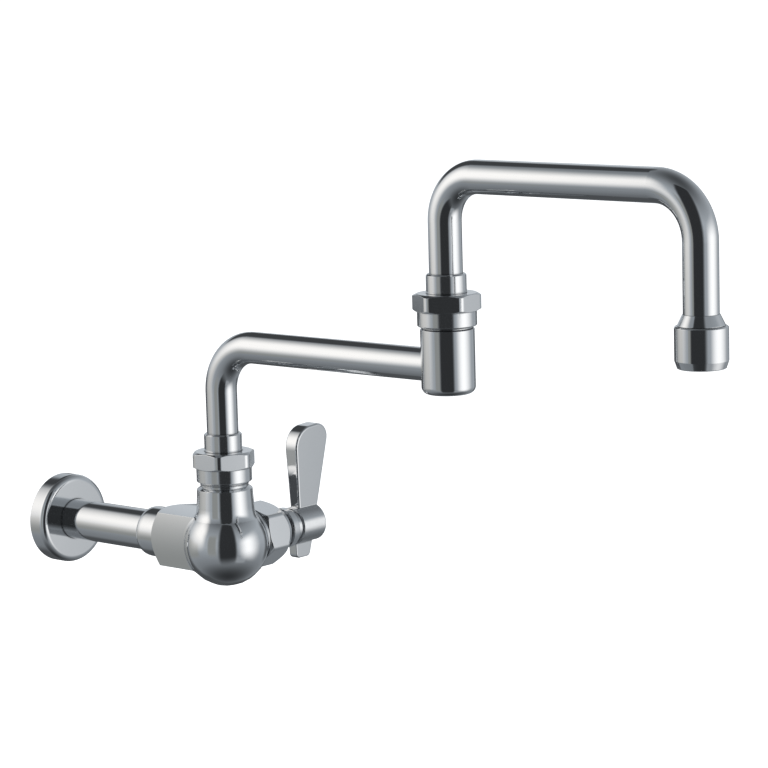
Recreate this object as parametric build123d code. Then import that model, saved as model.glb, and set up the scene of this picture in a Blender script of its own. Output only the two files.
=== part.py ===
"""Wall-mounted pot filler with a double-jointed spout.

Frame: millimetres, +Z up. The origin is the centre of the inlet pipe's mouth in the wall plane Y = 0.
The object stands out from the wall toward -Y, and the lever is on the +X side.
"""
from build123d import *
from math import radians, tan
import os

# Driving sizes
TUBE_OD = 19.05
TUBE_WALL = 1.25
ARM_LENGTH = 177.8
BALL_TO_WALL = 145.4
LOWER_ARM_HEIGHT = 120.9
UPPER_ARM_HEIGHT = 227.9
UPPER_ARM_REST_YAW = -2.9
BRAZE_GAP = 0.03
RUNNING_GAP = 0.05
SEAL_GAP = 0.02

# Wall flange and inlet
FLANGE_RADIUS = 27.9
FLANGE_DEPTH = 12.4
FLANGE_WALL = 2.0
FLANGE_EDGE = 4.0
FLANGE_HUB_RADIUS = 16.2
FLANGE_HUB_START = 4.0
FLANGE_PIPE_GAP = 0.1
GRIP_GROOVE = (6.0, 8.2)
GRIP_GROOVE_DEPTH = 1.2
PIPE_RADIUS = 12.6
PIPE_BORE = 7.0
INLET_THREAD_RADIUS = 10.48
INLET_THREAD_LENGTH = 15.0
INLET_THREAD_RUNOUT = 1.5
THIN_LIP = 0.3

# Valve body, measured from the centre of the ball
BLOCK_SIDE = 33.0
BLOCK_CROWN = 0.9
BLOCK_END = 49.2
BALL_RADIUS = 25.5
BALL_DROP = 1.1
BLOCK_BLEND = 4.0
NECK_RADIUS = 16.8
NECK_FOOT_RADIUS = 17.5
NECK_FLARE = 12.0
SHOULDER_TOP = 35.0
SHOULDER_BEVEL = 1.7
BLOCK_BEVEL_GAP = 0.2
BOSS_RADIUS = 17.4
BOSS_END = 20.4
COLLAR_RADIUS = 15.6
COLLAR_END = 63.9
COLLAR_DOME = 4.8
COLLAR_LIP = 1.3
PIPE_THREAD_RADIUS = 12.2
PIPE_THREAD_END = 38.0
PIPE_THREAD_ROOM = 3.5
SOCKET_ROOM = 1.5
CHAMBER_FLOOR = 2.0
CHAMBER_RADIUS = 11.2
BONNET_SEAT = 10.0
INLET_PASSAGE = (-7.5, 5.0)
CROSS_PASSAGE_RADIUS = 4.0
OUTLET_PASSAGE = (5.0, 4.8)

# Swivel, measured from the bottom edge of its swing nut
LOWER_SWIVEL = 37.9
UPPER_SWIVEL = 143.9
NUT_ACROSS_FLATS = 34.8
NUT_SKIRT_RADIUS = 16.8
NUT_HEX_START = 8.5
NUT_TOP = 18.5
NUT_WEB = 12.5
NUT_EDGE = 0.5
NUT_CORNER_ROUND = 4.5
THREAD_RADIUS = 14.5
NECK_TOP = 8.5
SLEEVE_RADIUS = 11.4
SLEEVE_TOP = 29.4
SLEEVE_EDGE = 0.8
SLEEVE_SHOULDER = 8.6
STEM_RADIUS = 9.5
STEM_BOTTOM = -12.0
STEM_EDGE = 0.5
STEM_BORE = 6.0
TUBE_SEAT = 13.2
SPLIT_RING_BOTTOM = 9.85
SPLIT_RING_HEIGHT = 2.5
SPLIT_RING_INNER = 10.25
SPLIT_RING_OUTER = 13.8
SPLIT_RING_GAP = 4.0
WASHER_INNER = 11.5
WASHER_OUTER = 14.2
WASHER_HEIGHT = 1.2
O_RING_SECTION = 1.6
O_RING_GROOVE = 2.0
O_RING_HEIGHTS = (-8.0, -3.0)
LOWER_NUT_CORNER = 32.7
UPPER_NUT_CORNER = 3.4

# Elbow housing at the end of the lower arm
ELBOW_RADIUS = 15.3
ELBOW_BOTTOM = 105.6
ELBOW_SHOULDER = 142.7
ELBOW_EDGE = 4.2
ELBOW_TOP_EDGE = 0.6
ELBOW_FLOOR = 110.0
ELBOW_TUBE_END = 11.0

# Tube bends, on the centre line
LOWER_BEND = 28.0
UPPER_RISER_BEND = 25.5
UPPER_DROP_BEND = 28.0

# Outlet, as heights above the inlet axis
CONE_TOP = 162.4
CONE_BOTTOM = 156.45
CONE_RADIUS = 12.6
AERATOR_RADIUS = 14.2
AERATOR_TOP = 156.4
AERATOR_CHAMFER_START = 138.4
AERATOR_BOTTOM = 134.1
AERATOR_MOUTH_RADIUS = 12.5
AERATOR_MOUTH_ROUND = 0.3
AERATOR_TOP_EDGE = 0.7
AERATOR_BORE = 12.25
LEDGE_RADIUS = 10.3
LEDGE_TOP = 136.4
CORE_SEAT = 144.4
CORE_RADIUS = 11.1
CORE_WALL = 1.5
CORE_TOP = 146.0
CORE_PORTS = 8
CORE_PORT_RADIUS = 1.4
CORE_PLATE = (141.5, 143.5)
SCREEN_THICKNESS = 0.5
SCREEN_PITCH = 2.6
SCREEN_HOLE_RADIUS = 0.95
SCREEN_ROWS = 7
DROP_TUBE_END = 150.6
ADAPTER_END = 148.0
ADAPTER_BORE = 8.2

# Bonnet, cartridge and lever, as distances from the centre of the ball along +X
BONNET_ACROSS_FLATS = 35.4
BONNET_TURN = 12.0
BONNET_HEX = (20.4, 38.6)
BONNET_END_ANGLES = (30, 60)
BONNET_COLLAR_RADIUS = 12.5
BONNET_END = 53.0
BONNET_EDGE = 0.6
BONNET_CORNER_ROUND = 3.0
BONNET_SHOULDER = (15.0, 42.0)
BONNET_GROOVE = (44.8, 48.0)
BONNET_GROOVE_DEPTH = 1.8
BONNET_THREAD_RADIUS = 13.5
BONNET_THREAD_START = 12.4
CARTRIDGE_START = 3.2
CARTRIDGE_SHOULDER = (10.1, 12.3)
CARTRIDGE_NECK = 9.0
CARTRIDGE_END = 43.8
CARTRIDGE_ROOM = 0.7
CARTRIDGE_WINDOW = (6.0, 9.0, 3.4)
CARTRIDGE_GAP = 0.1
DISC_CHAMBER_RADIUS = 9.3
DISC_CHAMBER_END = 10.5
FIXED_DISC = (3.2, 5.9)
TURNING_DISC = (5.95, 8.45)
DISC_PORT_RADIUS = 2.6
DISC_PORT_OFFSET = 5.2
STEM_SHAFT = 5.0
STEM_HEAD_RADIUS = 8.5
STEM_HEAD = (8.5, 10.4)
STEM_TONGUE = (13.0, 3.0, 1.5)
STEM_GROOVE = (30.0, 32.2)
STEM_GROOVE_RADIUS = 3.6
STEM_TAPPED_RADIUS = 1.95
STEM_TAPPED_DEPTH = 10.0
SPLINE_RADIUS = 4.2
SPLINE_END = 66.0
HUB_RADIUS = 11.6
HUB = (57.6, 78.1)
HUB_FRONT_ROUND = 1.2
HUB_BACK_EDGE = 0.5
HUB_NECK_RADIUS = 10.2
HUB_NECK_START = 53.3
SCREW_SEAT = 68.2
SCREW_HEAD_RADIUS = 3.6
SCREW_HEAD_HEIGHT = 2.4
SCREW_SLOT = (1.0, 1.8)
SCREW_LENGTH = 9.0
SCREW_WELL_RADIUS = 5.0
CAP_SEAT = 74.6
CAP_RADIUS = 6.95
CAP_TOP = 78.4
CAP_EDGE = 1.0
CAP_SKIRT = 3.1

# Lever outline in the plane of its face: distance from the ball along +X, height above the hub's axis
BLADE_OUTLINE = ((62.0, 0), (58.9, 60.6), (90.8, 62.8), (76.0, 0))
BLADE_INNER_CORNER = 13.5
BLADE_OUTER_CORNER = 9.0
BLADE_FOOT_THICKNESS = 7.4
BLADE_TIP_THICKNESS = 10.6
BLADE_EDGE = 1.3
TAIL_OUTLINE = ((57.9, 0), (58.6, -20.6), (70.7, -20.6), (76.7, 0))
TAIL_CORNER = 3.1
TAIL_THICKNESS = 6.4
TAIL_EDGE = 0.8

CORNERS = 6
FACE_TO_CORNER = 2 / 3 ** 0.5
SPARE = 1.0


def turned(*points):
    """Solid of revolution about Z from (radius, height) points."""
    outline = Plane.XZ * make_face(Polyline(*points, close=True))
    return revolve(outline, Axis.Z)


def rod(radius, low, high):
    """Cylinder on the Z axis between two heights."""
    return Pos(0, 0, (low + high) / 2) * Cylinder(radius, high - low)


def ring(inner, outer, low, high):
    """Flat ring on the Z axis between two heights."""
    return turned((inner, low), (outer, low), (outer, high), (inner, high))


def o_ring(inner, section, height):
    """Torus on the Z axis that sits in a groove of the given floor radius."""
    return Pos(0, 0, height) * Torus(inner + section / 2, section / 2)


def along_x(shape):
    """Turn a piece built on +Z so that it points along +X."""
    return Rot(0, 90, 0) * shape


def toward_wall(shape):
    """Turn a piece built on +Z so that it points along +Y."""
    return Rot(-90, 0, 0) * shape


def from_wall(shape):
    """Turn a piece built on +Z so that it points along -Y."""
    return Rot(90, 0, 0) * shape


def at_ball(shape):
    """Move a piece from the ball's own centre to its place off the wall."""
    return Pos(0, -BALL_TO_WALL, 0) * shape


def at_elbow(shape):
    """Move a piece from the elbow's own axis to its place, turned to the upper arm's rest yaw."""
    return at_ball(Pos(0, -ARM_LENGTH, 0) * Rot(0, 0, UPPER_ARM_REST_YAW) * shape)


def tube_along(path, radius):
    """Solid round bar along a path."""
    return sweep(Plane(path @ 0, z_dir=path % 0) * Circle(radius), path)


def wall_flange():
    """Cup-shaped cover with a hub that grips the pipe through a rubber ring."""
    bore = PIPE_RADIUS + FLANGE_PIPE_GAP
    groove_start, groove_end = GRIP_GROOVE
    groove_radius = bore + GRIP_GROOVE_DEPTH
    inner_face = FLANGE_DEPTH - FLANGE_WALL
    cup = turned(
        (FLANGE_RADIUS - FLANGE_WALL, 0),
        (FLANGE_RADIUS, 0),
        (FLANGE_RADIUS, FLANGE_DEPTH),
        (bore, FLANGE_DEPTH),
        (bore, groove_end),
        (groove_radius, groove_end),
        (groove_radius, groove_start),
        (bore, groove_start),
        (bore, FLANGE_HUB_START),
        (FLANGE_HUB_RADIUS, FLANGE_HUB_START),
        (FLANGE_HUB_RADIUS, inner_face),
        (FLANGE_RADIUS - FLANGE_WALL, inner_face),
    )
    rim = cup.edges().filter_by(GeomType.CIRCLE).group_by(Axis.Z)[-1].sort_by(SortBy.RADIUS)[-1]
    return from_wall(fillet(rim, FLANGE_EDGE))


def flange_grip_ring():
    """Rubber ring in the flange's bore."""
    section = FLANGE_PIPE_GAP + GRIP_GROOVE_DEPTH - 2 * SEAL_GAP
    return from_wall(o_ring(PIPE_RADIUS + SEAL_GAP, section, sum(GRIP_GROOVE) / 2))


def inlet_pipe():
    """Straight pipe with a female thread at the wall and a male thread in the body."""
    collar_face = BALL_TO_WALL - BLOCK_END
    end = BALL_TO_WALL - PIPE_THREAD_END
    pipe = turned(
        (INLET_THREAD_RADIUS, 0),
        (PIPE_RADIUS, 0),
        (PIPE_RADIUS, collar_face),
        (PIPE_THREAD_RADIUS, collar_face),
        (PIPE_THREAD_RADIUS, end),
        (PIPE_BORE, end),
        (PIPE_BORE, INLET_THREAD_LENGTH + INLET_THREAD_RUNOUT),
        (INLET_THREAD_RADIUS, INLET_THREAD_LENGTH),
    )
    return from_wall(pipe)


def inlet_collar():
    """Domed lock ring between the pipe and the body's block."""
    bore = PIPE_RADIUS + BRAZE_GAP
    lip = PIPE_RADIUS + COLLAR_LIP
    start = BLOCK_END + BRAZE_GAP
    dome_foot = COLLAR_END - COLLAR_DOME
    straight = Polyline((lip, COLLAR_END), (bore, COLLAR_END), (bore, start), (COLLAR_RADIUS, start),
                        (COLLAR_RADIUS, dome_foot))
    dome = EllipticalCenterArc((lip, dome_foot), COLLAR_RADIUS - lip, COLLAR_DOME, start_angle=0, arc_size=90)
    outline = Plane.XZ * make_face(Curve() + [straight, dome])
    return at_ball(toward_wall(revolve(outline, Axis.Z)))


def ball_and_neck():
    """Ball and the round neck that flares out of it; the ball's poles lie on the lever's axis."""
    ball = Pos(0, 0, -BALL_DROP) * Rot(0, 90, 0) * Sphere(BALL_RADIUS)
    flare_x = NECK_FOOT_RADIUS + NECK_FLARE
    flare_z = ((BALL_RADIUS + NECK_FLARE) ** 2 - flare_x ** 2) ** 0.5 - BALL_DROP
    inward = BALL_RADIUS / (BALL_RADIUS + NECK_FLARE)
    foot = (flare_x * inward, (flare_z + BALL_DROP) * inward - BALL_DROP)
    flare = TangentArc((NECK_FOOT_RADIUS, flare_z), foot, tangent=(0, -1))
    core = (foot[0] / 2, foot[1] / 2)
    rest = Polyline((NECK_FOOT_RADIUS, flare_z), (NECK_RADIUS, SHOULDER_TOP - SHOULDER_BEVEL),
                    (THREAD_RADIUS, SHOULDER_TOP), (0, SHOULDER_TOP), (0, core[1]), core, foot)
    return ball, revolve(Plane.XZ * make_face(Curve() + [flare, rest]), Axis.Z)


def body_block():
    """Square block with slightly crowned sides and a 45 degree cone turned on its wall end."""
    half = BLOCK_SIDE / 2
    side = ThreePointArc((-half, half), (0, half + BLOCK_CROWN), (half, half))
    outline = make_face(Curve() + [Rot(0, 0, turn) * side for turn in (0, 90, 180, 270)])
    block = toward_wall(extrude(outline, BLOCK_END))
    face_radius = COLLAR_RADIUS + BLOCK_BEVEL_GAP
    reach = BLOCK_SIDE
    envelope = turned((0, -SPARE), (face_radius + reach, -SPARE), (face_radius + reach, BLOCK_END - reach),
                      (face_radius, BLOCK_END), (0, BLOCK_END))
    return block & toward_wall(envelope)


def body_blank():
    """Outside of the casting: block blended into the ball, then the neck and the bonnet boss."""
    ball, neck = ball_and_neck()
    blank = ball + body_block()
    centre = Vector(0, 0, -BALL_DROP)
    near_block = BLOCK_SIDE / 4
    joins = blank.edges().filter_by(
        lambda edge: (edge @ 0.5).Y > near_block and abs((edge @ 0.5 - centre).length - BALL_RADIUS) < 0.1)
    blank = fillet(joins, BLOCK_BLEND)
    return blank + neck + along_x(rod(BOSS_RADIUS, 0, BOSS_END))


def valve_body():
    """Brass casting with its waterways, cartridge chamber and swivel socket."""
    neck_top = LOWER_SWIVEL + NECK_TOP
    socket_floor = LOWER_SWIVEL + STEM_BOTTOM - SOCKET_ROOM
    pipe_floor = PIPE_THREAD_END - PIPE_THREAD_ROOM
    mouth = BALL_RADIUS + SPARE
    inlet_x, inlet_radius = INLET_PASSAGE
    outlet_x, outlet_radius = OUTLET_PASSAGE
    body = body_blank() + rod(THREAD_RADIUS, SHOULDER_TOP - SPARE, neck_top)
    body -= toward_wall(rod(PIPE_THREAD_RADIUS + RUNNING_GAP, pipe_floor, BLOCK_END + SPARE))
    body -= Pos(inlet_x, 0, 0) * toward_wall(rod(inlet_radius, -CROSS_PASSAGE_RADIUS / 2, pipe_floor + SPARE))
    body -= along_x(rod(CROSS_PASSAGE_RADIUS, inlet_x, CHAMBER_FLOOR + SPARE))
    body -= along_x(rod(BOSS_RADIUS + SPARE, BOSS_END, mouth))
    body -= along_x(rod(CHAMBER_RADIUS, CHAMBER_FLOOR, mouth))
    body -= along_x(rod(BONNET_THREAD_RADIUS + RUNNING_GAP, BONNET_SEAT, mouth))
    body -= Pos(outlet_x, 0, 0) * rod(outlet_radius, CHAMBER_RADIUS / 2, socket_floor + SPARE)
    body -= rod(STEM_RADIUS + RUNNING_GAP, socket_floor, neck_top + SPARE)
    return at_ball(body)


def bonnet_profile_cut(start, end, corner_radius):
    """Turned envelope that chamfers both ends of a hexagon."""
    flat = BONNET_ACROSS_FLATS / 2
    inner_drop, outer_drop = ((corner_radius - flat) * tan(radians(angle)) for angle in BONNET_END_ANGLES)
    return turned((0, start), (flat, start), (corner_radius, start + inner_drop),
                  (corner_radius, end - outer_drop), (flat - BONNET_EDGE, end), (0, end))


def cartridge_bonnet():
    """Hexagonal bonnet with a round collar outside and a thread inside the body."""
    start, end = BONNET_HEX
    corner_radius = BONNET_ACROSS_FLATS / 2 * FACE_TO_CORNER
    prism = Pos(0, 0, start) * extrude(RegularPolygon(corner_radius, CORNERS), end - start)
    prism = fillet(prism.edges().filter_by(Axis.Z), BONNET_CORNER_ROUND)
    bonnet = prism & bonnet_profile_cut(start, end, corner_radius)
    groove_start, groove_end = BONNET_GROOVE
    collar = rod(BONNET_COLLAR_RADIUS, end - SPARE, BONNET_END)
    groove_floor = BONNET_COLLAR_RADIUS - BONNET_GROOVE_DEPTH
    collar -= ring(groove_floor, BONNET_COLLAR_RADIUS + SPARE, groove_start, groove_end)
    collar = chamfer(collar.edges().filter_by(GeomType.CIRCLE).sort_by(Axis.Z)[-1], BONNET_EDGE)
    shoulder_radius, shoulder_end = BONNET_SHOULDER
    flat = BONNET_ACROSS_FLATS / 2
    bonnet += turned((0, end - SPARE), (flat - BONNET_EDGE, end - SPARE), (flat - BONNET_EDGE, end),
                     (shoulder_radius, shoulder_end), (0, shoulder_end))
    bonnet += collar
    bonnet += rod(BONNET_THREAD_RADIUS, BONNET_THREAD_START, start + SPARE)
    cartridge_room = CARTRIDGE_END + CARTRIDGE_ROOM
    bonnet -= rod(CARTRIDGE_NECK + RUNNING_GAP, BONNET_THREAD_START - SPARE, cartridge_room)
    bonnet -= rod(STEM_SHAFT + CARTRIDGE_GAP, CARTRIDGE_END, BONNET_END + SPARE)
    return at_ball(along_x(Rot(0, 0, -BONNET_TURN) * bonnet))


def cartridge_body():
    """Brass cartridge shell: disc chamber, seating flange and stem guide."""
    outside = CHAMBER_RADIUS - CARTRIDGE_GAP
    shoulder_radius = BONNET_THREAD_RADIUS - CARTRIDGE_GAP
    shoulder_start, shoulder_end = CARTRIDGE_SHOULDER
    guide = STEM_SHAFT + RUNNING_GAP
    shell = turned(
        (DISC_CHAMBER_RADIUS, CARTRIDGE_START),
        (outside, CARTRIDGE_START),
        (outside, shoulder_start),
        (shoulder_radius, shoulder_start),
        (shoulder_radius, shoulder_end),
        (CARTRIDGE_NECK, shoulder_end),
        (CARTRIDGE_NECK, CARTRIDGE_END),
        (guide, CARTRIDGE_END),
        (guide, DISC_CHAMBER_END),
        (DISC_CHAMBER_RADIUS, DISC_CHAMBER_END),
    )
    window = Pos(-outside, 0, TURNING_DISC[1] - SPARE / 2) * Box(*CARTRIDGE_WINDOW)
    return at_ball(along_x(shell - window))


def cartridge_seat_seal():
    """Rubber ring between the cartridge and the chamber floor."""
    outer = CHAMBER_RADIUS - 2 * CARTRIDGE_GAP
    return at_ball(along_x(ring(STEM_SHAFT, outer, CHAMBER_FLOOR + SEAL_GAP, CARTRIDGE_START - SEAL_GAP)))


def disc_ports(turn, low, high):
    """The two opposite round ports of a ceramic disc."""
    port = Pos(DISC_PORT_OFFSET, 0, 0) * rod(DISC_PORT_RADIUS, low - SPARE, high + SPARE)
    return Rot(0, 0, turn) * port + Rot(0, 0, turn + 180) * port


def fixed_disc():
    """Lower ceramic disc, keyed to the cartridge."""
    low, high = FIXED_DISC
    return at_ball(along_x(rod(DISC_CHAMBER_RADIUS - RUNNING_GAP, low, high) - disc_ports(0, low, high)))


def turning_disc():
    """Upper ceramic disc with a slot for the stem's tongue."""
    low, high = TURNING_DISC
    length, width, depth = STEM_TONGUE
    disc = rod(DISC_CHAMBER_RADIUS - 3 * RUNNING_GAP, low, high) - disc_ports(90, low, high)
    slot = Box(length + 4 * RUNNING_GAP, width + 2 * RUNNING_GAP, 2 * (depth + RUNNING_GAP))
    return at_ball(along_x(disc - Pos(0, 0, high) * slot))


def cartridge_stem():
    """Stem with its tongue, guide, O-ring groove and spline."""
    head_start, head_end = STEM_HEAD
    groove_start, groove_end = STEM_GROOVE
    shaft_end = HUB_NECK_START - CARTRIDGE_GAP
    length, width, depth = STEM_TONGUE
    stem = turned(
        (0, head_start),
        (STEM_HEAD_RADIUS, head_start),
        (STEM_HEAD_RADIUS, head_end),
        (STEM_SHAFT, head_end),
        (STEM_SHAFT, groove_start),
        (STEM_GROOVE_RADIUS, groove_start),
        (STEM_GROOVE_RADIUS, groove_end),
        (STEM_SHAFT, groove_end),
        (STEM_SHAFT, shaft_end),
        (SPLINE_RADIUS, shaft_end),
        (SPLINE_RADIUS, SPLINE_END),
        (0, SPLINE_END),
    )
    tongue_start = TURNING_DISC[1] - depth
    stem += Pos(0, 0, (tongue_start + head_end) / 2) * Box(length, width, head_end - tongue_start)
    stem -= rod(STEM_TAPPED_RADIUS, SPLINE_END - STEM_TAPPED_DEPTH, SPLINE_END + SPARE)
    return at_ball(along_x(stem))


def stem_o_ring():
    """Rubber ring in the stem's groove."""
    section = STEM_SHAFT - STEM_GROOVE_RADIUS - 2 * SEAL_GAP
    return at_ball(along_x(o_ring(STEM_GROOVE_RADIUS + SEAL_GAP, section, sum(STEM_GROOVE) / 2)))


def lever_blade():
    """Flat blade that widens upward and leans away from the body."""
    face = make_face(Polyline(*BLADE_OUTLINE, close=True))
    inner_corner = face.vertices().sort_by(Axis.Y)[-2:].sort_by(Axis.X)[0]
    face = fillet(inner_corner, BLADE_INNER_CORNER)
    outer_corner = face.vertices().sort_by(Axis.Y)[-3:].sort_by(Axis.X)[-1]
    face = fillet(outer_corner, BLADE_OUTER_CORNER)
    middle = sum(x for x, height in BLADE_OUTLINE) / 4
    tip_height = BLADE_OUTLINE[2][1]
    plate = extrude(Plane.XZ * face, BLADE_TIP_THICKNESS, both=True)
    foot = Pos(middle, 0, 0) * Rectangle(tip_height, BLADE_FOOT_THICKNESS)
    tip = Pos(middle, 0, tip_height) * Rectangle(tip_height, BLADE_TIP_THICKNESS)
    blade = plate & loft([foot, tip])
    front_and_back = blade.faces().filter_by(lambda face: abs(face.normal_at().Y) > 0.9)
    return fillet(front_and_back.edges().filter_by(lambda edge: (edge @ 0.5).Z > SPARE), BLADE_EDGE)


def lever_tail():
    """Short tapered tail below the hub."""
    face = make_face(Polyline(*TAIL_OUTLINE, close=True))
    face = fillet(face.vertices().sort_by(Axis.Y)[:2], TAIL_CORNER)
    tail = extrude(Plane.XZ * face, TAIL_THICKNESS / 2, both=True)
    front_and_back = tail.faces().filter_by(Axis.Y)
    return fillet(front_and_back.edges().filter_by(lambda edge: (edge @ 0.5).Z < -SPARE), TAIL_EDGE)


def lever_handle():
    """Lever: hub with its neck, blade and tail, bored for the stem, screw and cap."""
    start, end = HUB
    hub = rod(HUB_RADIUS, start, end)
    hub = fillet(hub.edges().filter_by(GeomType.CIRCLE).sort_by(Axis.Z)[-1], HUB_FRONT_ROUND)
    hub = chamfer(hub.edges().filter_by(GeomType.CIRCLE).sort_by(Axis.Z)[0], HUB_BACK_EDGE)
    hub += rod(HUB_NECK_RADIUS, HUB_NECK_START, start + SPARE)
    lever = along_x(hub) + lever_blade() + lever_tail()
    bores = rod(SPLINE_RADIUS + BRAZE_GAP, HUB_NECK_START - SPARE, SPLINE_END + 0.2)
    bores += rod(STEM_TAPPED_RADIUS + 3 * RUNNING_GAP, SPLINE_END, SCREW_SEAT + SPARE)
    bores += rod(SCREW_WELL_RADIUS, SCREW_SEAT, CAP_SEAT + SPARE)
    bores += rod(CAP_RADIUS + RUNNING_GAP, CAP_SEAT, end + SPARE)
    return at_ball(lever - along_x(bores))


def handle_screw():
    """Pan-head screw that holds the lever on the stem."""
    head_top = SCREW_SEAT + SCREW_HEAD_HEIGHT
    slot_width, slot_depth = SCREW_SLOT
    shank = rod(STEM_TAPPED_RADIUS - RUNNING_GAP, SPLINE_END - SCREW_LENGTH, SCREW_SEAT + SPARE)
    head = rod(SCREW_HEAD_RADIUS, SCREW_SEAT + RUNNING_GAP, head_top)
    slot = Pos(0, 0, head_top) * Box(3 * SCREW_HEAD_RADIUS, slot_width, slot_depth)
    return at_ball(along_x(shank + head - slot))


def index_cap():
    """Plain domed cap that snaps into the hub's outer end."""
    disc = rod(CAP_RADIUS, CAP_SEAT + RUNNING_GAP, CAP_TOP)
    disc = fillet(disc.edges().filter_by(GeomType.CIRCLE).sort_by(Axis.Z)[-1], CAP_EDGE)
    skirt = ring(SCREW_HEAD_RADIUS + THIN_LIP, SCREW_WELL_RADIUS - RUNNING_GAP, CAP_SEAT - CAP_SKIRT,
                 CAP_SEAT + SPARE)
    return at_ball(along_x(disc + skirt))


def swing_nut(corner_angle):
    """Hexagonal nut with a plain skirt, on its own swivel datum."""
    flat = NUT_ACROSS_FLATS / 2
    corner_radius = flat * FACE_TO_CORNER
    drop = (corner_radius - flat) * tan(radians(30))
    prism = extrude(RegularPolygon(corner_radius, CORNERS), NUT_TOP - NUT_HEX_START)
    prism = fillet(prism.edges().filter_by(Axis.Z), NUT_CORNER_ROUND)
    prism = Pos(0, 0, NUT_HEX_START) * prism
    prism = prism & turned((0, NUT_HEX_START), (flat, NUT_HEX_START), (corner_radius, NUT_HEX_START + drop),
                           (corner_radius, NUT_TOP - drop), (flat - NUT_EDGE, NUT_TOP), (0, NUT_TOP))
    skirt = turned((THREAD_RADIUS, 0), (NUT_SKIRT_RADIUS - NUT_EDGE, 0), (NUT_SKIRT_RADIUS, NUT_EDGE),
                   (NUT_SKIRT_RADIUS, NUT_HEX_START + NUT_EDGE), (THREAD_RADIUS, NUT_HEX_START + NUT_EDGE))
    nut = prism + skirt
    nut -= rod(THREAD_RADIUS + RUNNING_GAP, -SPARE, NUT_WEB)
    nut -= rod(SLEEVE_RADIUS + 3 * RUNNING_GAP, NUT_WEB - SPARE, NUT_TOP + SPARE)
    return Rot(0, 0, corner_angle) * nut


def swivel_sleeve():
    """Stub brazed on the tube: stem with two grooves below, split-ring groove, plain sleeve above."""
    ring_groove_start = SPLIT_RING_BOTTOM - RUNNING_GAP
    ring_groove_end = SPLIT_RING_BOTTOM + SPLIT_RING_HEIGHT + RUNNING_GAP
    ring_groove_radius = SPLIT_RING_INNER - RUNNING_GAP
    groove_floor = STEM_RADIUS - O_RING_SECTION
    outline = [(STEM_BORE, STEM_BOTTOM), (STEM_RADIUS - STEM_EDGE, STEM_BOTTOM),
               (STEM_RADIUS, STEM_BOTTOM + STEM_EDGE)]
    for height in O_RING_HEIGHTS:
        low, high = height - O_RING_GROOVE / 2, height + O_RING_GROOVE / 2
        outline += [(STEM_RADIUS, low), (groove_floor, low), (groove_floor, high), (STEM_RADIUS, high)]
    outline += [
        (STEM_RADIUS, SLEEVE_SHOULDER),
        (SLEEVE_RADIUS, SLEEVE_SHOULDER),
        (SLEEVE_RADIUS, ring_groove_start),
        (ring_groove_radius, ring_groove_start),
        (ring_groove_radius, ring_groove_end),
        (SLEEVE_RADIUS, ring_groove_end),
        (SLEEVE_RADIUS, SLEEVE_TOP - SLEEVE_EDGE),
        (SLEEVE_RADIUS - SLEEVE_EDGE, SLEEVE_TOP),
        (TUBE_OD / 2 + BRAZE_GAP, SLEEVE_TOP),
        (TUBE_OD / 2 + BRAZE_GAP, TUBE_SEAT),
        (STEM_BORE, TUBE_SEAT),
    ]
    return turned(*outline)


def swivel_o_rings():
    """The two rubber rings on the stem, as separate solids."""
    floor = STEM_RADIUS - O_RING_SECTION + SEAL_GAP
    return Compound(children=[o_ring(floor, O_RING_SECTION - SEAL_GAP, height) for height in O_RING_HEIGHTS])


def split_ring():
    """Open brass ring that keeps the sleeve under its nut."""
    top = SPLIT_RING_BOTTOM + SPLIT_RING_HEIGHT
    whole = ring(SPLIT_RING_INNER, SPLIT_RING_OUTER, SPLIT_RING_BOTTOM, top)
    return whole - Pos(SPLIT_RING_OUTER, 0, top) * Box(SPLIT_RING_OUTER, SPLIT_RING_GAP, SPLIT_RING_OUTER)


def thrust_washer():
    """Nylon washer between the neck's top face and the split ring."""
    low = NECK_TOP + RUNNING_GAP
    return ring(WASHER_INNER, WASHER_OUTER, low, low + WASHER_HEIGHT)


def lower_arm():
    """Tube up from the lower swivel, one bend, then level to the elbow housing."""
    start = LOWER_SWIVEL + TUBE_SEAT + BRAZE_GAP
    path = FilletPolyline((0, 0, start), (0, 0, LOWER_ARM_HEIGHT),
                          (0, ELBOW_TUBE_END - ARM_LENGTH, LOWER_ARM_HEIGHT), radius=LOWER_BEND)
    tube = tube_along(path, TUBE_OD / 2) - tube_along(path, TUBE_OD / 2 - TUBE_WALL)
    return at_ball(tube)


def elbow_housing():
    """Upright cylinder with a side hole for the lower arm and a threaded neck on top."""
    neck_top = UPPER_SWIVEL + NECK_TOP
    housing = rod(ELBOW_RADIUS, ELBOW_BOTTOM, ELBOW_SHOULDER)
    circles = housing.edges().filter_by(GeomType.CIRCLE).sort_by(Axis.Z)
    housing = fillet(circles[0], ELBOW_EDGE)
    circles = housing.edges().filter_by(GeomType.CIRCLE).sort_by(Axis.Z)
    housing = chamfer(circles[-1], ELBOW_TOP_EDGE)
    housing += rod(THREAD_RADIUS, ELBOW_SHOULDER - SPARE, neck_top)
    housing -= rod(STEM_RADIUS + RUNNING_GAP, ELBOW_FLOOR, neck_top + SPARE)
    side_hole = toward_wall(rod(TUBE_OD / 2 + BRAZE_GAP, 0, ELBOW_RADIUS + SPARE))
    side_hole = Pos(0, 0, LOWER_ARM_HEIGHT) * side_hole
    return at_ball(Pos(0, -ARM_LENGTH, 0) * (housing - side_hole))


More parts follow.
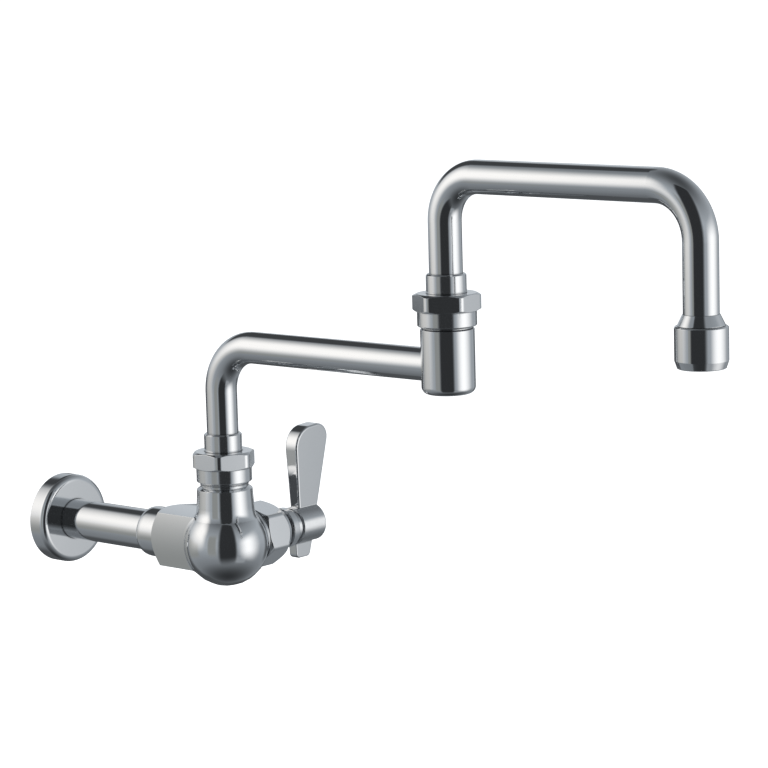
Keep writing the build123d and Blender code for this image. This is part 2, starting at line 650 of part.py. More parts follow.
def upper_arm():
    """Tube up from the upper swivel, level across, then down to the outlet."""
    start = UPPER_SWIVEL + TUBE_SEAT + BRAZE_GAP
    path = FilletPolyline((0, 0, start), (0, 0, UPPER_ARM_HEIGHT), (0, -ARM_LENGTH, UPPER_ARM_HEIGHT),
                          (0, -ARM_LENGTH, DROP_TUBE_END), radius=[UPPER_RISER_BEND, UPPER_DROP_BEND])
    return at_elbow(tube_along(path, TUBE_OD / 2) - tube_along(path, TUBE_OD / 2 - TUBE_WALL))


def at_outlet(shape):
    """Move a piece from the outlet's own axis to its place."""
    return at_elbow(Pos(0, -ARM_LENGTH, 0) * shape)


def outlet_adapter():
    """Flared cone brazed on the tube's end, with a male thread for the aerator."""
    tube_bore = TUBE_OD / 2 + BRAZE_GAP
    thread = AERATOR_BORE - RUNNING_GAP
    tube_seat = DROP_TUBE_END - RUNNING_GAP
    adapter = turned(
        (tube_bore, CONE_TOP),
        (tube_bore + THIN_LIP, CONE_TOP),
        (CONE_RADIUS, CONE_BOTTOM + THIN_LIP),
        (CONE_RADIUS, CONE_BOTTOM),
        (thread, CONE_BOTTOM),
        (thread, ADAPTER_END),
        (ADAPTER_BORE, ADAPTER_END),
        (ADAPTER_BORE, tube_seat),
        (tube_bore, tube_seat),
    )
    return at_outlet(adapter)


def aerator_housing():
    """Round housing with a long chamfer at its mouth."""
    housing = turned(
        (AERATOR_BORE, AERATOR_TOP),
        (AERATOR_RADIUS - AERATOR_TOP_EDGE, AERATOR_TOP),
        (AERATOR_RADIUS, AERATOR_TOP - AERATOR_TOP_EDGE),
        (AERATOR_RADIUS, AERATOR_CHAMFER_START),
        (AERATOR_MOUTH_RADIUS + AERATOR_MOUTH_ROUND, AERATOR_BOTTOM + AERATOR_MOUTH_ROUND),
        (AERATOR_MOUTH_RADIUS - AERATOR_MOUTH_ROUND, AERATOR_BOTTOM),
        (LEDGE_RADIUS, AERATOR_BOTTOM),
        (LEDGE_RADIUS, LEDGE_TOP),
        (CORE_RADIUS + CARTRIDGE_GAP, LEDGE_TOP),
        (CORE_RADIUS + CARTRIDGE_GAP, CORE_SEAT),
        (AERATOR_BORE, CORE_SEAT),
    )
    return at_outlet(housing)


def aerator_washer():
    """Rubber washer between the adapter and the core."""
    outer = AERATOR_BORE - CARTRIDGE_GAP
    return at_outlet(ring(ADAPTER_BORE + SEAL_GAP, outer, CORE_TOP + RUNNING_GAP, ADAPTER_END - RUNNING_GAP))


def aerator_core():
    """Plastic flow straightener: flanged cup with a drilled plate."""
    inner = CORE_RADIUS - CORE_WALL
    bottom = LEDGE_TOP + SCREEN_THICKNESS + 2 * RUNNING_GAP
    seat = CORE_SEAT + RUNNING_GAP
    rim = AERATOR_BORE - 3 * RUNNING_GAP
    plate_low, plate_high = CORE_PLATE
    core = turned((inner, bottom), (CORE_RADIUS, bottom), (CORE_RADIUS, seat), (rim, seat),
                  (rim, CORE_TOP), (inner, CORE_TOP))
    core += rod(inner + SPARE / 5, plate_low, plate_high)
    port = Pos(inner * 2 / 3, 0, 0) * rod(CORE_PORT_RADIUS, plate_low - SPARE, plate_high + SPARE)
    for index in range(CORE_PORTS):
        core -= Rot(0, 0, index * 360 / CORE_PORTS) * port
    return at_outlet(core)


def aerator_screen():
    """Round perforated screen at the mouth."""
    low = LEDGE_TOP + RUNNING_GAP
    high = low + SCREEN_THICKNESS
    screen = rod(CORE_RADIUS, low, high)
    hole = rod(SCREEN_HOLE_RADIUS, low - SPARE, high + SPARE)
    for spot in HexLocations(SCREEN_PITCH / 2 * FACE_TO_CORNER, SCREEN_ROWS, SCREEN_ROWS):
        if spot.position.length < LEDGE_RADIUS - SCREEN_HOLE_RADIUS:
            screen -= spot * hole
    return at_outlet(screen)


def lower_swivel(shape):
    """Move a swivel piece from its own datum to the ball's neck."""
    return at_ball(Pos(0, 0, LOWER_SWIVEL) * shape)


def upper_swivel(shape):
    """Move a swivel piece from its own datum to the elbow, turned with the upper arm."""
    return at_elbow(Pos(0, 0, UPPER_SWIVEL) * shape)


def upper_swivel_fixed(shape):
    """Move a swivel piece that stays with the elbow housing to its place."""
    return at_ball(Pos(0, -ARM_LENGTH, UPPER_SWIVEL) * shape)


NODES = {
    "wall_flange": wall_flange(),
    "flange_grip_ring": flange_grip_ring(),
    "inlet_pipe": inlet_pipe(),
    "inlet_collar": inlet_collar(),
    "valve_body": valve_body(),
    "cartridge_bonnet": cartridge_bonnet(),
    "cartridge_body": cartridge_body(),
    "cartridge_seat_seal": cartridge_seat_seal(),
    "fixed_disc": fixed_disc(),
    "turning_disc": turning_disc(),
    "cartridge_stem": cartridge_stem(),
    "stem_o_ring": stem_o_ring(),
    "lever_handle": lever_handle(),
    "handle_screw": handle_screw(),
    "index_cap": index_cap(),
    "lower_swing_nut": lower_swivel(swing_nut(LOWER_NUT_CORNER)),
    "lower_swivel_sleeve": lower_swivel(swivel_sleeve()),
    "lower_o_rings": lower_swivel(swivel_o_rings()),
    "lower_split_ring": lower_swivel(split_ring()),
    "lower_thrust_washer": lower_swivel(thrust_washer()),
    "lower_arm": lower_arm(),
    "elbow_housing": elbow_housing(),
    "upper_swing_nut": upper_swivel_fixed(swing_nut(UPPER_NUT_CORNER)),
    "upper_swivel_sleeve": upper_swivel(swivel_sleeve()),
    "upper_o_rings": upper_swivel(swivel_o_rings()),
    "upper_split_ring": upper_swivel(split_ring()),
    "upper_thrust_washer": upper_swivel_fixed(thrust_washer()),
    "upper_arm": upper_arm(),
    "outlet_adapter": outlet_adapter(),
    "aerator_housing": aerator_housing(),
    "aerator_washer": aerator_washer(),
    "aerator_core": aerator_core(),
    "aerator_screen": aerator_screen(),
}

os.makedirs("parts", exist_ok=True)
for name, shape in NODES.items():
    export_step(shape, f"parts/{name}.step")
    print(name, round(shape.volume, 1), "mm3")
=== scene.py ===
"""Looks of a wall-mounted pot filler: chrome finishes, modelled small parts, studio and camera.

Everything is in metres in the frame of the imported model: the origin is the centre of the inlet pipe's mouth,
+Z is up, and the spout stands out along -Y.
"""
import logging
from dataclasses import dataclass, field
from enum import Enum
from math import atan2, cos, radians, sin

import bpy
from mathutils import Matrix, Vector


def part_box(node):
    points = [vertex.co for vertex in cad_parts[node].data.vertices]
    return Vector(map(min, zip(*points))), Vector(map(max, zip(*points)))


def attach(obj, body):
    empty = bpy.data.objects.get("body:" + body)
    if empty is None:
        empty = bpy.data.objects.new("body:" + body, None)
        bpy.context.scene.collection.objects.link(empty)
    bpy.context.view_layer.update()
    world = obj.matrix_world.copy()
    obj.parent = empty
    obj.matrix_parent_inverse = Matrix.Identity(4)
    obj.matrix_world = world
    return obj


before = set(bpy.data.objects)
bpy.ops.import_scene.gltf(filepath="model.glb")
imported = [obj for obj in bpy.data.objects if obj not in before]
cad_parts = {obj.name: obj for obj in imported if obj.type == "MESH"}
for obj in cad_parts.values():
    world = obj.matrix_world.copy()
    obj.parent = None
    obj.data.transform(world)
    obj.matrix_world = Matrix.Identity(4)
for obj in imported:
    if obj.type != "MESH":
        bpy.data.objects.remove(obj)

log = logging.getLogger("pot_filler")

Rgb = tuple[float, float, float]
Point = tuple[float, float, float]

MM = 0.001

# Where each noise counts as a mark, from none to full
SMUDGE_RANGE = (0.42, 0.68)
SCRATCH_RANGE = (0.62, 0.74)
# Openness of a crease at which the painted shade goes from full to none
CREASE_RANGE = (0.35, 0.85)
GRAIN_RANGE = (0.3, 0.7)

OPENNESS_SAMPLES = 8
BEVEL_SAMPLES = 6
CAMERA_WHITE = 1.1
RIPPLE_DEPTH = 1.0 * MM
GRAIN_DEPTH = 0.05 * MM
GRAIN_SMUDGE = 0.08
MERGE_DISTANCE = 0.001 * MM
THREAD_SMOOTH_ANGLE = radians(25)


class Axis(Enum):
    """Direction of a turned piece's own axis."""

    X = 0
    Y = 1
    Z = 2


class Body(Enum):
    """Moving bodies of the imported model."""

    VALVE = "valve"
    LEVER = "lever"
    LOWER = "lower_spout"
    UPPER = "upper_spout"


def place(bearing: float, elevation: float, distance: float, centre: Vector) -> Vector:
    """Point that is seen from a centre at a compass bearing and an elevation.

    Args:
        bearing: Degrees from +X toward +Y.
        elevation: Degrees above the horizon.
        distance: Metres from the centre.
        centre: Where it is seen from.

    Returns:
        The point in the frame.
    """
    flat = cos(radians(elevation))
    return centre + distance * Vector((
        flat * cos(radians(bearing)), flat * sin(radians(bearing)), sin(radians(elevation))))


def deselect() -> None:
    """Leave object mode with nothing selected."""
    if bpy.context.object and bpy.context.object.mode != "OBJECT":
        bpy.ops.object.mode_set(mode="OBJECT")
    bpy.ops.object.select_all(action="DESELECT")


def settle(piece: bpy.types.Object) -> None:
    """Move a piece's place, turn and scale into its mesh.

    Args:
        piece: The mesh object.
    """
    deselect()
    piece.select_set(True)
    bpy.context.view_layer.objects.active = piece
    bpy.ops.object.transform_apply(location=True, rotation=True, scale=True)


class NodeTree:
    """Small helper that adds and joins shader nodes."""

    def __init__(self, tree: bpy.types.NodeTree) -> None:
        """Keep the tree that the nodes go into."""
        self.tree = tree

    def add(self, kind: str, **inputs: object) -> bpy.types.Node:
        """Add a node and set or link its inputs.

        Args:
            kind: Blender's node type without the ShaderNode prefix.
            inputs: Input names, with spaces as underscores, and a value or an output socket for each.

        Returns:
            The new node.
        """
        node = self.tree.nodes.new("ShaderNode" + kind)
        for name, value in inputs.items():
            self.feed(node, name.replace("_", " "), value)
        return node

    def feed(self, node: bpy.types.Node, key: str | int, value: object) -> None:
        """Set an input to a value, or link an output socket to it.

        Args:
            node: The node with the input.
            key: Name or number of the input.
            value: A value or an output socket.
        """
        socket = node.inputs[key]
        if isinstance(value, bpy.types.NodeSocket):
            self.tree.links.new(value, socket)
        else:
            socket.default_value = value

    def math(self, operation: str, *values: object) -> bpy.types.NodeSocket:
        """Add a Math node.

        Args:
            operation: Blender's name of the operation.
            values: A number or an output socket for each input, in order.

        Returns:
            Its output.
        """
        node = self.tree.nodes.new("ShaderNodeMath")
        node.operation = operation
        for index, value in enumerate(values):
            self.feed(node, index, value)
        return node.outputs[0]

    def vector(self, operation: str, *values: object, output: str = "Vector") -> bpy.types.NodeSocket:
        """Add a Vector Math node.

        Args:
            operation: Blender's name of the operation.
            values: A vector or an output socket for each input, in order.
            output: Name of the output that is wanted.

        Returns:
            That output.
        """
        node = self.tree.nodes.new("ShaderNodeVectorMath")
        node.operation = operation
        for index, value in enumerate(values):
            self.feed(node, index, value)
        return node.outputs[output]

    def step(self, value: object, low: float, high: float, start: float = 0.0, end: float = 1.0
             ) -> bpy.types.NodeSocket:
        """Smooth step of a value between two limits.

        Args:
            value: An output socket.
            low: Value at which the step starts.
            high: Value at which it ends.
            start: Result at the low value.
            end: Result at the high value.

        Returns:
            The result's output.
        """
        node = self.add("MapRange", Value=value, From_Min=low, From_Max=high, To_Min=start, To_Max=end)
        node.interpolation_type = "SMOOTHSTEP"
        return node.outputs["Result"]


def white_for_camera(tree: NodeTree, other: bpy.types.NodeSocket) -> bpy.types.NodeSocket:
    """World shader that the camera sees as plain white.

    Args:
        tree: The world's nodes.
        other: Shader that every other ray sees.

    Returns:
        The mixed shader.
    """
    white = tree.add("Background", Color=(1, 1, 1, 1), Strength=CAMERA_WHITE)
    mix = tree.add("MixShader", Fac=tree.add("LightPath").outputs["Is Camera Ray"])
    tree.feed(mix, 1, other)
    tree.feed(mix, 2, white.outputs[0])
    return mix.outputs[0]


@dataclass(frozen=True)
class Panel:
    """Upright softbox or card between two places on the studio's plan, which only the metal sees."""

    name: str
    start: tuple[float, float]
    end: tuple[float, float]
    low: float
    high: float
    level: float
    tint: Rgb = (1.0, 1.0, 1.0)
    side_fade: float = 0.25
    low_fade: float = 0.25
    high_fade: float = 0.25

    def build(self) -> None:
        """Add the panel."""
        run = Vector(self.end) - Vector(self.start)
        middle = (Vector(self.end) + Vector(self.start)) / 2
        deselect()
        bpy.ops.mesh.primitive_plane_add(size=1.0, location=(*middle, (self.low + self.high) / 2))
        panel = bpy.context.object
        panel.name = self.name
        panel.scale = (run.length, self.high - self.low, 1.0)
        panel.rotation_euler = (radians(90), 0, atan2(run.y, run.x))
        panel.data.materials.append(self.material())
        settle(panel)
        panel.visible_camera = False
        panel.visible_diffuse = False
        panel.visible_shadow = False

    def material(self) -> bpy.types.Material:
        """Emission that fades out toward the panel's edges.

        Returns:
            The finished material.
        """
        material = bpy.data.materials.new(self.name)
        material.use_nodes = True
        material.node_tree.nodes.clear()
        tree = NodeTree(material.node_tree)
        across = tree.add("SeparateXYZ", Vector=tree.add("TexCoord").outputs["UV"]).outputs
        side, low, high = self.side_fade, self.low_fade, self.high_fade
        sides = tree.math("MULTIPLY", tree.step(across[0], 0, side), tree.step(across[0], 1, 1 - side))
        ends = tree.math("MULTIPLY", tree.step(across[1], 0, low), tree.step(across[1], 1, 1 - high))
        glow = tree.add("Emission", Color=(*self.tint, 1), Strength=self.level)
        mix = tree.add("MixShader", Fac=tree.math("MULTIPLY", sides, ends))
        tree.feed(mix, 1, tree.add("BsdfTransparent").outputs[0])
        tree.feed(mix, 2, glow.outputs[0])
        tree.add("OutputMaterial", Surface=mix.outputs[0])
        return material


@dataclass(frozen=True)
class Lamp:
    """Soft area lamp for the surfaces that aren't metal."""

    name: str
    bearing: float
    elevation: float
    distance: float
    size: float
    power: float

    def build(self, centre: Vector) -> None:
        """Add the lamp, hidden from the metal.

        Args:
            centre: What it is aimed at.
        """
        light = bpy.data.lights.new(self.name, "AREA")
        light.shape = "DISK"
        light.size = self.size
        light.energy = self.power
        lamp = bpy.data.objects.new(self.name, light)
        lamp.location = place(self.bearing, self.elevation, self.distance, centre)
        lamp.rotation_euler = (centre - lamp.location).to_track_quat("-Z", "Y").to_euler()
        lamp.visible_glossy = False
        bpy.context.collection.objects.link(lamp)


WARM: Rgb = (1.0, 0.975, 0.945)
COOL: Rgb = (0.88, 0.94, 1.0)
WHITE: Rgb = (1.0, 1.0, 1.0)
GREENISH: Rgb = (0.965, 1.0, 0.98)


@dataclass
class Studio:
    """White room with softboxes and cards around the object, and its floor far below."""

    centre: Vector = field(default_factory=lambda: Vector((0.0, -0.2, 0.08)))
    floor_height: float = -0.42
    floor_side: float = 24.0
    floor_glow: float = 1.0
    floor_colour: Rgb = (0.88, 0.88, 0.88)
    sky: tuple[tuple[float, float], ...] = (
        (-90, 0.04), (-65, 0.09), (-42, 0.24), (-25, 0.32), (-12, 0.40), (0, 0.48), (20, 0.48), (45, 0.30),
        (90, 0.08))
    sky_tint: Rgb = (0.86, 0.93, 1.0)
    panels: tuple[Panel, ...] = (
        Panel("lens_card", (-0.65, -0.32), (-0.20, -0.90), -0.80, 1.30, 0.035, COOL, 0.20, 0.25, 0.02),
        Panel("left_dim_panel", (-1.20, -0.55), (-1.45, 0.20), -0.70, 0.95, 0.30, GREENISH),
        Panel("back_left_softbox", (-1.75, 0.35), (0.25, 0.80), -0.35, 1.60, 1.20, WARM, 0.45, 0.40, 0.50),
        Panel("right_softbox", (-0.50, -1.80), (1.10, -0.75), -0.95, 0.65, 1.25, WHITE, 0.50, 0.50, 0.30),
        Panel("left_fill", (-1.20, 0.70), (0.00, 1.40), -0.70, 0.20, 0.30, GREENISH),
        Panel("backdrop", (1.65, 0.55), (0.65, 0.85), 0.00, 1.25, 0.64, COOL, 0.25, 0.15, 0.15),
        Panel("right_flag", (1.30, -0.45), (1.45, 0.45), -0.80, 0.50, 0.12, COOL, 0.40),
        Panel("high_flag", (0.85, 0.40), (-0.10, 0.65), 0.35, 1.70, 0.06, COOL, 0.25, 0.10, 0.10),
        Panel("low_flag", (1.10, 0.25), (-0.20, 0.75), -1.40, 0.13, 0.09, COOL, 0.25, 0.20, 0.08),
        Panel("front_fill", (-0.75, -1.55), (0.45, -1.65), -1.50, -0.55, 0.36, COOL, 0.25, 0.35, 0.30),
    )
    lamps: tuple[Lamp, ...] = (
        Lamp("key_lamp", 250, 55, 1.6, 1.2, 14.0),
        Lamp("fill_lamp", 130, 35, 1.8, 1.4, 8.0),
        Lamp("back_lamp", 20, 45, 1.8, 1.4, 6.0),
    )

    def build(self) -> None:
        """Build the whole studio."""
        self.world()
        self.floor()
        for panel in self.panels:
            panel.build()
        for lamp in self.lamps:
            lamp.build(self.centre)
        log.info("studio: %d panels, %d lamps", len(self.panels), len(self.lamps))

    def world(self) -> None:
        """Grey room by height for the metal, white for the camera."""
        world = bpy.data.worlds.new("studio")
        bpy.context.scene.world = world
        world.use_nodes = True
        world.node_tree.nodes.clear()
        tree = NodeTree(world.node_tree)
        height = tree.add("SeparateXYZ", Vector=tree.add("TexCoord").outputs["Generated"]).outputs["Z"]
        ramp = tree.add("ValToRGB", Fac=tree.math("MULTIPLY_ADD", height, 0.5, 0.5))
        stops = ramp.color_ramp.elements
        for index, (elevation, level) in enumerate(self.sky):
            position = sin(radians(elevation)) / 2 + 0.5
            stop = stops[index] if index < 2 else stops.new(position)
            stop.position = position
            stop.color = (*(level * share for share in self.sky_tint), 1)
        room = tree.add("Background", Color=ramp.outputs["Color"], Strength=1.0)
        tree.add("OutputWorld", Surface=white_for_camera(tree, room.outputs[0]))

    def floor(self) -> None:
        """Wide pale floor, seen by the camera from above only."""
        deselect()
        bpy.ops.mesh.primitive_plane_add(size=self.floor_side, location=(0, 0, self.floor_height))
        floor = bpy.context.object
        floor.name = "studio_floor"
        settle(floor)
        material = bpy.data.materials.new("pale_floor")
        material.use_nodes = True
        material.node_tree.nodes.clear()
        tree = NodeTree(material.node_tree)
        matt = tree.add("BsdfDiffuse", Color=(*self.floor_colour, 1))
        glow = tree.add("Emission", Color=(1, 1, 1, 1), Strength=self.floor_glow)
        lit = tree.add("AddShader")
        tree.feed(lit, 0, matt.outputs[0])
        tree.feed(lit, 1, glow.outputs[0])
        mix = tree.add("MixShader", Fac=tree.add("NewGeometry").outputs["Backfacing"])
        tree.feed(mix, 1, lit.outputs[0])
        tree.feed(mix, 2, tree.add("BsdfTransparent").outputs[0])
        tree.add("OutputMaterial", Surface=mix.outputs[0])
        floor.data.materials.append(material)
        floor.visible_glossy = False
        floor.visible_diffuse = False


@dataclass(frozen=True)
class PhotoCamera:
    """Camera at the photograph's viewing angle."""

    location: Point = (-1.22015, -1.33612, 0.35223)
    heading: float = -48.9932
    elevation: float = 8.6213
    roll: float = 1.5896
    lens: float = 134.17
    sensor: float = 36.0

    def build(self) -> None:
        """Add the camera and make it the scene's own."""
        data = bpy.data.cameras.new("photo_camera")
        data.lens = self.lens
        data.sensor_width = self.sensor
        data.clip_start = 0.05
        data.clip_end = 60.0
        camera = bpy.data.objects.new("photo_camera", data)
        turn = Matrix.Rotation(radians(self.heading), 4, "Z") @ Matrix.Rotation(
            radians(90 - self.elevation), 4, "X") @ Matrix.Rotation(-radians(self.roll), 4, "Z")
        camera.matrix_world = Matrix.Translation(self.location) @ turn
        bpy.context.collection.objects.link(camera)
        bpy.context.scene.camera = camera
        log.info("camera at %s", self.location)


class Grain:
    """Shader node groups that the finishes share."""

    @staticmethod
    def group(name: str, inputs: dict[str, float], outputs: tuple[str, ...]
              ) -> tuple[bpy.types.NodeTree, NodeTree, bpy.types.Node, bpy.types.Node]:
        """Make an empty group with float sockets.

        Args:
            name: Name of the group.
            inputs: Input names and their defaults.
            outputs: Output names.

        Returns:
            The group, its helper, its input node and its output node.
        """
        group = bpy.data.node_groups.new(name, "ShaderNodeTree")
        for label, default in inputs.items():
            socket = group.interface.new_socket(label, in_out="INPUT", socket_type="NodeSocketFloat")
            socket.default_value = default
        for label in outputs:
            group.interface.new_socket(label, in_out="OUTPUT", socket_type="NodeSocketFloat")
        source = group.nodes.new("NodeGroupInput")
        sink = group.nodes.new("NodeGroupOutput")
        return group, NodeTree(group), source, sink

    @classmethod
    def handling(cls) -> bpy.types.NodeTree:
        """Faint smudges and fine scratches on plating.

        Returns:
            The group.
        """
        group, tree, source, sink = cls.group(
            "handling_marks", {"Smudge Scale": 30.0, "Scratch Scale": 900.0}, ("Smudge", "Scratch"))
        place_on = tree.add("TexCoord").outputs["Object"]
        smudge = tree.add("TexNoise", Vector=place_on, Scale=source.outputs[0], Detail=3.0, Roughness=0.55)
        tree.feed(sink, "Smudge", tree.step(smudge.outputs[0], *SMUDGE_RANGE))
        stretched = tree.add("Mapping", Vector=place_on, Scale=(1.0, 0.06, 0.22), Rotation=(0.3, 0.7, 0.4))
        scratch = tree.add("TexNoise", Vector=stretched.outputs[0], Scale=source.outputs[1], Detail=1.0)
        tree.feed(sink, "Scratch", tree.step(scratch.outputs[0], *SCRATCH_RANGE))
        return group

    @classmethod
    def turning(cls) -> bpy.types.NodeTree:
        """Fine rings that a lathe leaves, by the distance along the piece's axis.

        Returns:
            The group.
        """
        group, tree, source, sink = cls.group(
            "turning_marks", {"Along": 0.0, "Per Metre": 900.0}, ("Rings", "Feed"))
        along = tree.math("MULTIPLY", source.outputs[0], source.outputs[1])
        fine = tree.add("TexNoise", Scale=1.0, Detail=2.0, Roughness=0.7)
        fine.noise_dimensions = "1D"
        tree.feed(fine, "W", along)
        tree.feed(sink, "Rings", fine.outputs[0])
        tree.feed(sink, "Feed", tree.math("FRACT", along))
        return group

    @classmethod
    def brushing(cls) -> bpy.types.NodeTree:
        """Upright streaks that a belt leaves on a flat.

        Returns:
            The group.
        """
        group, tree, source, sink = cls.group("brushing_marks", {"Scale": 1400.0}, ("Streaks",))
        drawn = tree.add("Mapping", Vector=tree.add("TexCoord").outputs["Object"], Scale=(1.0, 1.0, 0.04))
        noise = tree.add("TexNoise", Vector=drawn.outputs[0], Scale=source.outputs[0], Detail=2.0,
                         Roughness=0.6)
        tree.feed(sink, "Streaks", noise.outputs[0])
        return group

    @classmethod
    def crevices(cls) -> bpy.types.NodeTree:
        """Mask of creases and joints, where the colour is darkened as painted shade.

        Returns:
            The group.
        """
        group, tree, source, sink = cls.group("painted_crevice_shade", {"Reach": 2.5 * MM}, ("Mask",))
        # Ambient occlusion, as a mask of painted shade in creases and joints
        openness = tree.add("AmbientOcclusion", Distance=source.outputs[0])
        openness.samples = OPENNESS_SAMPLES
        tree.feed(sink, "Mask", tree.step(openness.outputs["AO"], *CREASE_RANGE, 1.0, 0.0))
        return group

    @classmethod
    def ripple(cls) -> bpy.types.NodeTree:
        """Very shallow unevenness left by polishing.

        Returns:
            The group.
        """
        group, tree, source, sink = cls.group("polish_ripple", {"Scale": 60.0}, ("Height",))
        noise = tree.add("TexNoise", Vector=tree.add("TexCoord").outputs["Object"], Scale=source.outputs[0],
                         Detail=1.5, Roughness=0.4)
        tree.feed(sink, "Height", noise.outputs[0])
        return group


@dataclass(frozen=True)
class Plating:
    """Chrome plating, from mirror-polished to lathe-turned.

    The hub is the y, z and radius of a turned hub along X on a piece that is polished elsewhere. The ball is
    the centre and radius of a ball whose facets get a true ball's normals, between a depth and a height.
    """

    name: str
    colour: Rgb = (0.80, 0.81, 0.82)
    roughness: float = 0.055
    # How much, and toward which dark colour, creases and joints are darkened: painted shade
    crease_shade: float = 0.85
    crease_shade_colour: Rgb = (0.10, 0.105, 0.11)
    smudge: float = 0.02
    ripple: float = 0.02
    brushed: float = 0.0
    rings: float = 0.0
    feed: float = 0.0
    ring_axis: Axis = Axis.Z
    rings_per_metre: float = 900.0
    ring_depth: float = 0.02 * MM
    hub: tuple[float, float, float] | None = None
    hub_edge: float = 0.4 * MM
    ball: tuple[float, float, float, float] | None = None
    facet_depth: tuple[float, float] = (-0.40 * MM, -0.35 * MM)
    facet_height: tuple[float, float] = (0.01 * MM, 0.03 * MM)
    edge_radius: float = 0.35 * MM

    def build(self, groups: dict[str, bpy.types.NodeTree]) -> bpy.types.Material:
        """Make the material.

        Args:
            groups: The shared node groups by name.

        Returns:
            The finished material.
        """
        material = bpy.data.materials.new(self.name)
        material.use_nodes = True
        material.node_tree.nodes.clear()
        tree = NodeTree(material.node_tree)
        marks = tree.add("Group")
        marks.node_tree = groups["handling"]
        wave = tree.add("Group")
        wave.node_tree = groups["ripple"]
        worn = tree.math("MULTIPLY_ADD", marks.outputs["Smudge"], self.smudge, self.roughness)
        worn = tree.math("MULTIPLY_ADD", marks.outputs["Scratch"], 2 * self.smudge, worn)
        edges = tree.add("Bevel", Radius=self.edge_radius)
        edges.samples = BEVEL_SAMPLES
        smooth = self.true_ball(tree, edges.outputs[0]) if self.ball else edges.outputs[0]
        bump = tree.add("Bump", Height=wave.outputs["Height"], Strength=self.ripple, Distance=RIPPLE_DEPTH,
                        Normal=smooth)
        if self.brushed:
            streaks = tree.add("Group")
            streaks.node_tree = groups["brushing"]
            worn = tree.math("MULTIPLY_ADD", streaks.outputs["Streaks"], self.brushed, worn)
        if self.rings:
            along = tree.add("SeparateXYZ", Vector=tree.add("TexCoord").outputs["Object"])
            lathe = tree.add("Group")
            lathe.node_tree = groups["turning"]
            tree.feed(lathe, "Along", along.outputs[self.ring_axis.value])
            tree.feed(lathe, "Per Metre", self.rings_per_metre)
            height = lathe.outputs["Rings"]
            if self.hub:
                near = self.near_hub(tree, along)
                height = tree.math("MULTIPLY", height, near)
            worn = tree.math("MULTIPLY_ADD", height, self.rings / 4, worn)
            bump = tree.add("Bump", Height=height, Strength=self.rings, Distance=self.ring_depth,
                            Normal=bump.outputs[0])
            if self.hub:
                ridge = tree.math("MULTIPLY", lathe.outputs["Feed"], near)
                bump = tree.add("Bump", Height=ridge, Strength=1.0, Distance=self.feed / self.rings_per_metre,
                                Normal=bump.outputs[0])
        # Painted shade: the colour darkens in creases and joints between parts, where little of the room is
        # seen
        crease_shade = tree.add("Group")
        crease_shade.node_tree = groups["crevices"]
        shade = tree.add("MixRGB", Fac=tree.math("MULTIPLY", crease_shade.outputs["Mask"], self.crease_shade),
                         Color1=(*self.colour, 1), Color2=(*self.crease_shade_colour, 1))
        shader = tree.add("BsdfPrincipled", Base_Color=shade.outputs[0], Metallic=1.0, Roughness=worn,
                          Normal=bump.outputs[0])
        tree.add("OutputMaterial", Surface=shader.outputs[0])
        return material

    def true_ball(self, tree: NodeTree, normal: bpy.types.NodeSocket) -> bpy.types.NodeSocket:
        """Give the ball's facets the normals of a true ball.

        Args:
            tree: The material's nodes.
            normal: Normal of the rest of the piece.

        Returns:
            The mixed normal.
        """
        *centre, radius = self.ball
        outward = tree.vector("SUBTRACT", tree.add("TexCoord").outputs["Object"], centre)
        reach = tree.vector("LENGTH", outward, output="Value")
        turn = tree.add("VectorTransform", Vector=outward)
        turn.vector_type = "NORMAL"
        turn.convert_from = "OBJECT"
        turn.convert_to = "WORLD"
        inside = [radius + depth for depth in self.facet_depth]
        outside = [radius + height for height in self.facet_height]
        on_ball = tree.math("MULTIPLY", tree.step(reach, *inside), tree.step(reach, *outside, 1.0, 0.0))
        mix = tree.add("MixRGB", Fac=on_ball, Color1=normal, Color2=tree.vector("NORMALIZE", turn.outputs[0]))
        return mix.outputs[0]

    def near_hub(self, tree: NodeTree, place_on: bpy.types.Node) -> bpy.types.NodeSocket:
        """Mask of the turned hub on a piece that is polished elsewhere.

        Args:
            tree: The material's nodes.
            place_on: Separated object coordinates.

        Returns:
            An output socket that is one near the hub's axis along X.
        """
        y, z, radius = self.hub
        across = tree.math("POWER", tree.math("SUBTRACT", place_on.outputs["Y"], y), 2.0)
        upward = tree.math("POWER", tree.math("SUBTRACT", place_on.outputs["Z"], z), 2.0)
        distance = tree.math("SQRT", tree.math("ADD", across, upward))
        return tree.step(distance, radius, radius + self.hub_edge, 1.0, 0.0)


@dataclass(frozen=True)
class PlainFinish:
    """Brass, rubber, ceramic, nylon or steel with a light surface grain."""

    name: str
    colour: Rgb
    dark_colour: Rgb
    roughness: float
    metallic: float = 0.0
    grain_scale: float = 700.0
    grain: float = 0.15

    def build(self, groups: dict[str, bpy.types.NodeTree]) -> bpy.types.Material:
        """Make the material.

        Args:
            groups: The shared node groups by name.

        Returns:
            The finished material.
        """
        material = bpy.data.materials.new(self.name)
        material.use_nodes = True
        material.node_tree.nodes.clear()
        tree = NodeTree(material.node_tree)
        marks = tree.add("Group")
        marks.node_tree = groups["handling"]
        grain = tree.add("TexNoise", Vector=tree.add("TexCoord").outputs["Object"], Scale=self.grain_scale,
                         Detail=3.0)
        shade = tree.add("MixRGB", Fac=tree.step(grain.outputs[0], *GRAIN_RANGE),
                         Color1=(*self.dark_colour, 1), Color2=(*self.colour, 1))
        rough = tree.math("MULTIPLY_ADD", marks.outputs["Smudge"], GRAIN_SMUDGE, self.roughness)
        bump = tree.add("Bump", Height=grain.outputs[0], Strength=self.grain, Distance=GRAIN_DEPTH)
        shader = tree.add("BsdfPrincipled", Base_Color=shade.outputs[0], Metallic=self.metallic,
                          Roughness=rough, Normal=bump.outputs[0])
        tree.add("OutputMaterial", Surface=shader.outputs[0])
        return material


